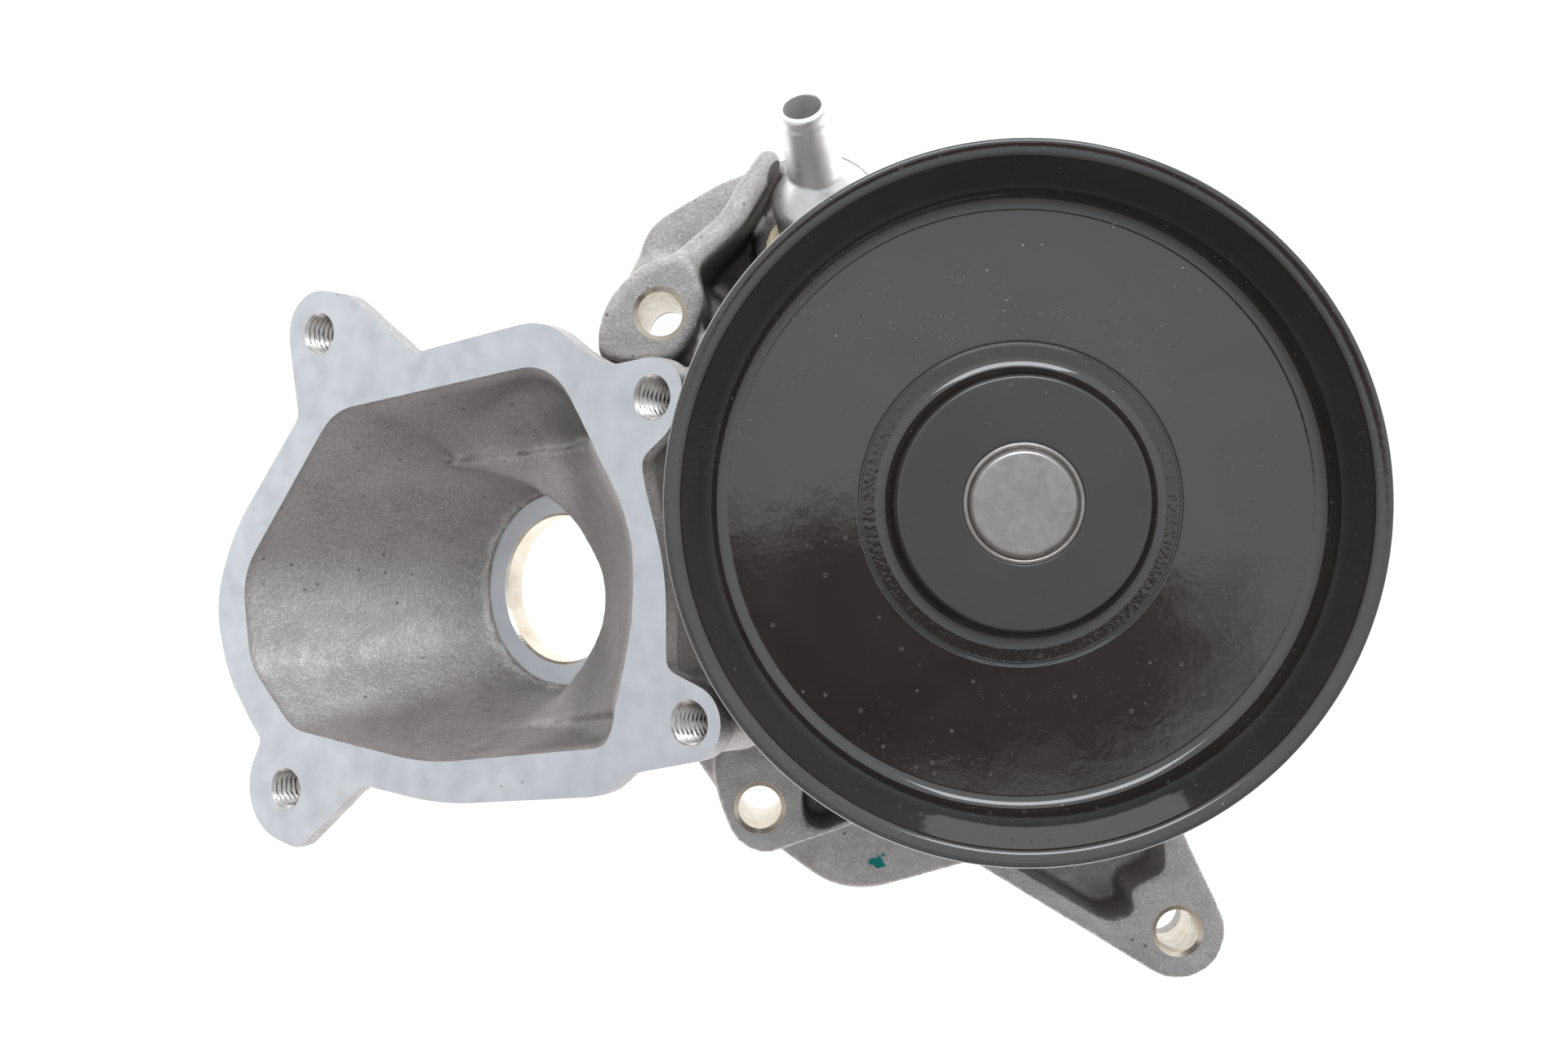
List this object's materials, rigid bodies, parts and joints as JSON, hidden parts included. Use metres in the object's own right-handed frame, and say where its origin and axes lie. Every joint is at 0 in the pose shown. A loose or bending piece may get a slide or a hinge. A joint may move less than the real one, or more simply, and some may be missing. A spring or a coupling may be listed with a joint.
{
  "type": "water pump",
  "caption": "Belt-driven engine coolant pump: cast aluminium housing with thermostat chamber, hose nozzle, black grooved pulley, shaft bearing, water seal and impeller.",
  "frame": {"origin": "on the shaft axis, in the face that bolts to the engine, where the rear end of the shaft also ends", "axes": "+Z along the shaft towards the belt pulley, +X along the longest extent, away from the thermostat chamber, +Y towards the hose nozzle"},
  "size_m": [0.2197, 0.1742, 0.102],
  "materials": {
    "cast_aluminium": "blasted die casting, fine grain, warm light grey",
    "turned_aluminium": "bright turned, fine tool marks",
    "black_paint": "glossy black stove enamel with light orange peel",
    "ground_steel": "ground, fine concentric marks",
    "rubber": "matt black moulded rubber",
    "cage_polyamide": "glass-filled polyamide, amber brown",
    "carbon": "lapped carbon graphite",
    "ceramic": "lapped silicon carbide",
    "brass": "pressed brass",
    "impeller_plastic": "glass-filled moulded plastic, dark brown black"
  },
  "bodies": {
    "housing": {"pump_housing": "cast_aluminium", "hose_nozzle": "turned_aluminium", "nozzle_o_ring": "rubber", "rear_o_ring": "rubber", "port_gasket": "rubber", "dowel_sleeve_a": "ground_steel", "dowel_sleeve_c": "ground_steel", "leak_chamber_cap": "ground_steel", "bearing_outer_race": "ground_steel", "bearing_seal_front": "rubber", "bearing_seal_rear": "rubber", "seal_cup": "brass", "seal_bellows": "rubber", "seal_spring": "ground_steel", "seal_carbon_ring": "carbon"},
    "rotor": {"pump_shaft": "ground_steel", "pulley": "black_paint", "pulley_hub": "ground_steel", "slinger": "rubber", "seal_mating_ring": "ceramic", "seal_boot": "rubber", "impeller": "impeller_plastic", "impeller_bush": "brass"},
    "ball_set": {"ball_cage": "cage_polyamide", "bearing_ball_1": "ground_steel", "bearing_ball_2": "ground_steel", "bearing_ball_3": "ground_steel", "bearing_ball_4": "ground_steel", "bearing_ball_5": "ground_steel", "bearing_ball_6": "ground_steel", "bearing_ball_7": "ground_steel", "bearing_ball_8": "ground_steel"},
    "roller_set": {"roller_cage": "cage_polyamide", "bearing_roller_1": "ground_steel", "bearing_roller_2": "ground_steel", "bearing_roller_3": "ground_steel", "bearing_roller_4": "ground_steel", "bearing_roller_5": "ground_steel", "bearing_roller_6": "ground_steel", "bearing_roller_7": "ground_steel", "bearing_roller_8": "ground_steel", "bearing_roller_9": "ground_steel", "bearing_roller_10": "ground_steel"}
  },
  "joints": [
    {"name": "rotor_spin", "type": "hinge", "parent": "housing", "child": "rotor", "pos_m": [0, 0, 0.05], "axis": [0, 0, 1], "continuous": true},
    {"name": "ball_cage_spin", "type": "hinge", "parent": "housing", "child": "ball_set", "pos_m": [0, 0, 0.048], "axis": [0, 0, 1], "continuous": true},
    {"name": "roller_cage_spin", "type": "hinge", "parent": "housing", "child": "roller_set", "pos_m": [0, 0, 0.063], "axis": [0, 0, 1], "continuous": true}
  ],
  "couplings": [
    {"joint": "ball_cage_spin", "follows": "rotor_spin", "ratio": 0.371},
    {"joint": "roller_cage_spin", "follows": "rotor_spin", "ratio": 0.398}
  ]
}
